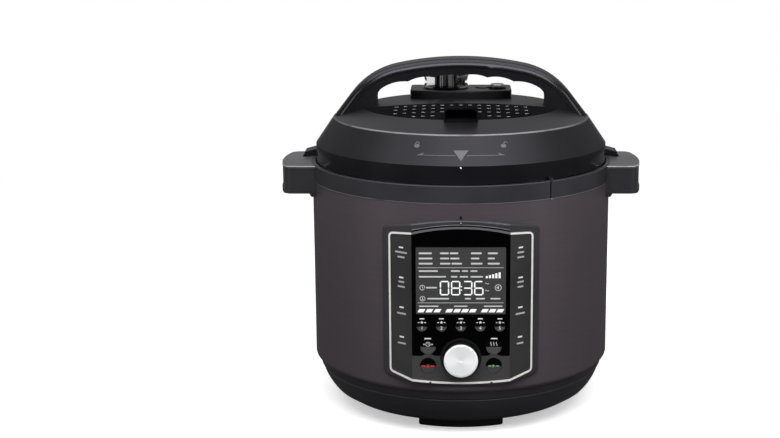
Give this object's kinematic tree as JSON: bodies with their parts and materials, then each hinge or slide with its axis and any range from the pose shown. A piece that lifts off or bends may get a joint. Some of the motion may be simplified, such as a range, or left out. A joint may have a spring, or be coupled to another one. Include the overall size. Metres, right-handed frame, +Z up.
{
  "type": "electric pressure cooker",
  "caption": "Round electric pressure cooker with a front control panel and dial, side handles, a removable pot, and a turning bayonet lid with an arched handle and steam valve",
  "frame": {"origin": "centre of the round body, at the plane that the feet stand on", "axes": "+Z up along the body's axis, -Y out of the control panel, +X to the right of someone facing the panel"},
  "size_m": [0.3306, 0.3105, 0.323],
  "materials": {
    "shell_steel": "dark tinted brushed steel",
    "base_plastic": "fine satin moulded black",
    "collar_plastic": "satin dark grey",
    "lid_plastic": "satin black, smooth",
    "handle_plastic": "fine grained black",
    "handle_trim": "satin grey",
    "grip_plastic": "soft satin black",
    "feet_rubber": "matte black",
    "liner_metal": "dull bare sheet",
    "stainless": "satin stainless",
    "pot_steel": "brushed stainless with a spun floor",
    "cast_heater": "cast and faced aluminium plate",
    "sensor_metal": "turned",
    "spring_steel": "drawn wire",
    "screw_steel": "plated",
    "brass_contacts": "plated contacts",
    "board": "solder-masked board",
    "components": "moulded component bodies",
    "panel_frame": "satin dark grey",
    "panel_trim": "bright satin metal",
    "panel_face": "printed satin film",
    "panel_gloss": "gloss black",
    "display_lens": "smoked clear window",
    "display": "dark display",
    "key_plastic": "satin dished caps",
    "dial_metal": "spun with a chamfered edge",
    "cup_plastic": "smoky translucent",
    "silicone": "translucent silicone",
    "valve_chrome": "polished",
    "valve_black": "gloss black"
  },
  "bodies": {
    "base": {"base_skirt": "base_plastic", "feet": "feet_rubber", "outer_shell": "shell_steel", "collar_ring": "collar_plastic", "side_handle_left": "handle_plastic", "side_handle_right": "handle_plastic", "handle_cap_left": "handle_trim", "handle_cap_right": "handle_trim", "inner_housing": "liner_metal", "locking_flange": "stainless", "inner_pot": "pot_steel", "heating_plate": "cast_heater", "heater_terminals": "brass_contacts", "sensor_spring": "spring_steel", "base_screws": "screw_steel", "power_board": "board", "power_board_parts": "components", "inlet_socket": "base_plastic", "inlet_pins": "brass_contacts", "panel_bezel": "panel_frame", "panel_trim": "panel_trim", "panel_overlay": "panel_face", "panel_window": "panel_gloss", "display_lens": "display_lens", "display_module": "display", "control_board": "board", "key_switches": "components", "dial_ring": "panel_gloss", "encoder_body": "screw_steel", "collector_bracket": "base_plastic"},
    "lid": {"lid_cover": "lid_plastic", "lid_handle": "handle_plastic", "handle_grip": "grip_plastic", "valve_block": "lid_plastic", "steam_pipe": "sensor_metal", "lid_pan": "stainless", "sealing_ring": "silicone", "ring_rack": "stainless", "anti_block_shield": "stainless", "lid_screws": "screw_steel"},
    "vent_cover": {"steam_cover": "grip_plastic"},
    "valve": {"steam_valve": "valve_chrome", "steam_valve_core": "valve_black"},
    "release": {"release_button": "grip_plastic"},
    "float": {"float_valve": "stainless", "float_seal": "silicone"},
    "sensor": {"sensor_plunger": "sensor_metal"},
    "encoder": {"encoder_rotor": "screw_steel"},
    "dial": {"dial_shaft": "screw_steel", "dial_knob": "dial_metal"},
    "collector": {"collector_cup": "cup_plastic"},
    "favourite_key_1": {"favourite_key_1": "key_plastic"},
    "favourite_key_2": {"favourite_key_2": "key_plastic"},
    "favourite_key_3": {"favourite_key_3": "key_plastic"},
    "favourite_key_4": {"favourite_key_4": "key_plastic"},
    "favourite_key_5": {"favourite_key_5": "key_plastic"},
    "delay_key": {"delay_key": "key_plastic"},
    "keep_warm_key": {"keep_warm_key": "key_plastic"},
    "cancel_key": {"cancel_key": "key_plastic"},
    "start_key": {"start_key": "key_plastic"}
  },
  "joints": [
    {"name": "lid_turn", "type": "hinge", "parent": "base", "child": "lid", "pos_m": [0, 0, 0.2235], "axis": [0, 0, 1], "range_deg": [0, 34]},
    {"name": "vent_cover_lift", "type": "slide", "parent": "lid", "child": "vent_cover", "axis": [0, 0, 1], "range_m": [0, 0.06]},
    {"name": "steam_valve_lift", "type": "slide", "parent": "lid", "child": "valve", "axis": [0, 0, 1], "range_m": [0, 0.04]},
    {"name": "release_press", "type": "slide", "parent": "lid", "child": "release", "axis": [0, 0, -1], "range_m": [0, 0.0025]},
    {"name": "float_rise", "type": "slide", "parent": "lid", "child": "float", "axis": [0, 0, 1], "range_m": [0, 0.0045]},
    {"name": "sensor_press", "type": "slide", "parent": "base", "child": "sensor", "axis": [0, 0, -1], "range_m": [0, 0.002], "stiffness_N_per_m": 600, "springref_m": -0.002, "deforming": ["sensor_spring"]},
    {"name": "dial_turn", "type": "hinge", "parent": "base", "child": "encoder", "pos_m": [0, -0.14, 0.0792], "axis": [0, -1, 0], "continuous": true},
    {"name": "dial_press", "type": "slide", "parent": "encoder", "child": "dial", "axis": [0, 1, 0], "range_m": [0, 0.0012], "stiffness_N_per_m": 1500, "springref_m": -0.0005},
    {"name": "collector_pull", "type": "slide", "parent": "base", "child": "collector", "axis": [0, 1, 0], "range_m": [0, 0.03]},
    {"name": "favourite_key_1_press", "type": "slide", "parent": "base", "child": "favourite_key_1", "axis": [0, 1, 0], "range_m": [0, 0.0006], "stiffness_N_per_m": 2500, "springref_m": -0.0004},
    {"name": "favourite_key_2_press", "type": "slide", "parent": "base", "child": "favourite_key_2", "axis": [0, 1, 0], "range_m": [0, 0.0006], "stiffness_N_per_m": 2500, "springref_m": -0.0004},
    {"name": "favourite_key_3_press", "type": "slide", "parent": "base", "child": "favourite_key_3", "axis": [0, 1, 0], "range_m": [0, 0.0006], "stiffness_N_per_m": 2500, "springref_m": -0.0004},
    {"name": "favourite_key_4_press", "type": "slide", "parent": "base", "child": "favourite_key_4", "axis": [0, 1, 0], "range_m": [0, 0.0006], "stiffness_N_per_m": 2500, "springref_m": -0.0004},
    {"name": "favourite_key_5_press", "type": "slide", "parent": "base", "child": "favourite_key_5", "axis": [0, 1, 0], "range_m": [0, 0.0006], "stiffness_N_per_m": 2500, "springref_m": -0.0004},
    {"name": "delay_key_press", "type": "slide", "parent": "base", "child": "delay_key", "axis": [0, 1, 0], "range_m": [0, 0.0006], "stiffness_N_per_m": 2500, "springref_m": -0.0004},
    {"name": "keep_warm_key_press", "type": "slide", "parent": "base", "child": "keep_warm_key", "axis": [0, 1, 0], "range_m": [0, 0.0006], "stiffness_N_per_m": 2500, "springref_m": -0.0004},
    {"name": "cancel_key_press", "type": "slide", "parent": "base", "child": "cancel_key", "axis": [0, 1, 0], "range_m": [0, 0.0006], "stiffness_N_per_m": 2500, "springref_m": -0.0004},
    {"name": "start_key_press", "type": "slide", "parent": "base", "child": "start_key", "axis": [0, 1, 0], "range_m": [0, 0.0006], "stiffness_N_per_m": 2500, "springref_m": -0.0004}
  ]
}
